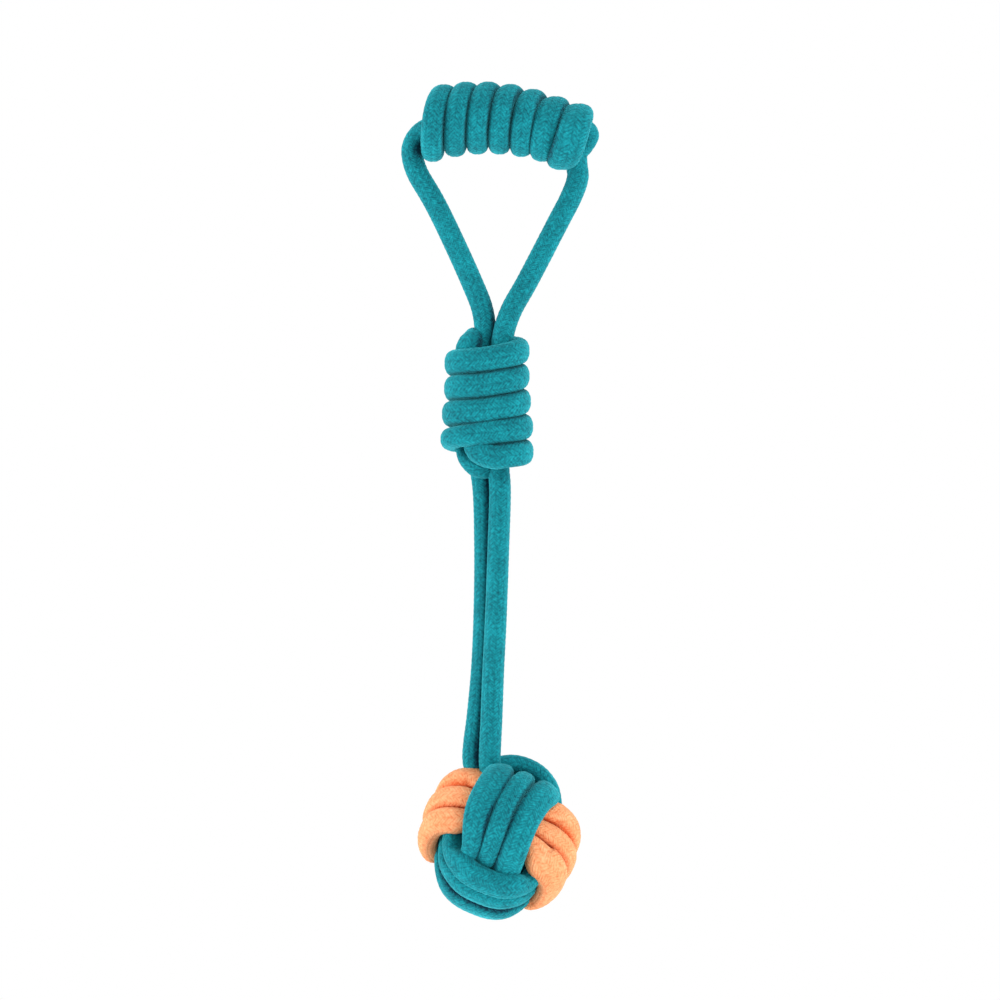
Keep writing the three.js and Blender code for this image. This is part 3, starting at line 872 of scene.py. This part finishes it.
def make_object():
    tree = braided_rope_tree()
    # The deep end of each ramp is the deepest dye, and also the colour of the painted shade where the ropes
    # press
    teal = cotton("teal_cotton", linear(26, 170, 182), linear(8, 119, 130), linear(1, 44, 60),
                  (0.12, 0.85, 0.95, 1), 0.5)
    orange = cotton("orange_cotton", linear(236, 190, 146), linear(231, 151, 103), linear(204, 92, 46),
                    (1, 0.75, 0.5, 1), 0.15)
    make_rope(-1, LEFT_ROUTE, tree, teal)
    make_rope(1, RIGHT_ROUTE, tree, teal)
    front, up, left = ball_axes()
    front_band = band_line((front, up, left), **FRONT_BAND)
    cross_band = band_line((up, left, front), **CROSS_BAND)
    side_band = band_line((left, front, up), **SIDE_BAND)
    for name, line, squareness, body, nodes in (
        ("grip_winding_rope", grip_line(), WOUND_SECTION, "handle", ["grip_winding"]),
        ("knot_winding_rope", knot_line(), WOUND_SECTION, "knot", ["knot_winding"]),
        ("knot_tail_rope", knot_end_line(KNOT_TAIL), ROUND_SECTION, "knot", []),
        ("knot_arch_rope", knot_end_line(KNOT_ARCH), ROUND_SECTION, "knot", []),
        ("ball_heart_rope", heart_line((front, up, left)), ROUND_SECTION, "ball", ["ball_core"]),
        ("ball_front_rope", front_band, WOUND_SECTION, "ball", ["ball_front_band"]),
        ("ball_cross_rope", cross_band, WOUND_SECTION, "ball", ["ball_cross_band"]),
    ):
        winding(name, line, tree, teal, squareness, body, "teal_cotton", nodes)
    winding("ball_side_rope", side_band, tree, orange, WOUND_SECTION, "ball", "orange_cotton",
            ["ball_side_band"])


# Studio

def area_light(name, place, aim, size, power):
    data = bpy.data.lights.new(name, "AREA")
    data.shape = "DISK"
    data.size = size
    data.energy = power
    light = bpy.data.objects.new(name, data)
    light.location = place
    light.rotation_euler = (Vector(aim) - Vector(place)).to_track_quat("-Z", "Y").to_euler()
    bpy.context.scene.collection.objects.link(light)


def any_ray(tree, *kinds):
    """Whether a ray is of one of these kinds, as 0 or 1."""
    rays = add_node(tree, "ShaderNodeLightPath")
    found = out(tree, rays, kinds[0])
    for kind in kinds[1:]:
        found = found.math("MAXIMUM", out(tree, rays, kind))
    return found


def white_floor():
    """Paper for the light that it throws back, and clear to the camera and the lamps,
    so that what swings below it at a pose is seen and lit as well."""
    material = bpy.data.materials.new("white_floor")
    material.use_nodes = True
    tree = material.node_tree
    tree.nodes.clear()
    passed = any_ray(tree, "Is Camera Ray", "Is Glossy Ray", "Is Transmission Ray", "Is Shadow Ray")
    paper = add_node(tree, "ShaderNodeBsdfDiffuse", {"Color": PAPER_WHITE})
    clear = add_node(tree, "ShaderNodeBsdfTransparent")
    mixed = add_node(tree, "ShaderNodeMixShader", {"Fac": passed})
    tree.links.new(paper.outputs[0], mixed.inputs[1])
    tree.links.new(clear.outputs[0], mixed.inputs[2])
    result = add_node(tree, "ShaderNodeOutputMaterial")
    tree.links.new(mixed.outputs[0], result.inputs["Surface"])
    mesh = bpy.data.meshes.new("floor")
    half = FLOOR_HALF_WIDTH
    mesh.from_pydata([(-half, -half, 0), (half, -half, 0), (half, half, 0), (-half, half, 0)], [],
                     [(0, 1, 2, 3)])
    mesh.materials.append(material)
    plain_object("floor", mesh)


def white_world():
    """White as it is seen, and dimmer as a lamp."""
    world = bpy.data.worlds.new("world")
    world.use_nodes = True
    tree = world.node_tree
    tree.nodes.clear()
    seen = any_ray(tree, "Is Camera Ray", "Is Glossy Ray")
    strength = seen * (1 - SKY_LIGHT) + SKY_LIGHT
    glow = add_node(tree, "ShaderNodeBackground", {"Color": (1, 1, 1, 1), "Strength": strength})
    result = add_node(tree, "ShaderNodeOutputWorld")
    tree.links.new(glow.outputs[0], result.inputs["Surface"])
    bpy.context.scene.world = world


def light_studio():
    bpy.context.scene.view_settings.view_transform = "Standard"
    white_floor()
    white_world()
    for name, settings in LAMPS.items():
        area_light(name, *settings)


place_camera()
make_object()
light_studio()
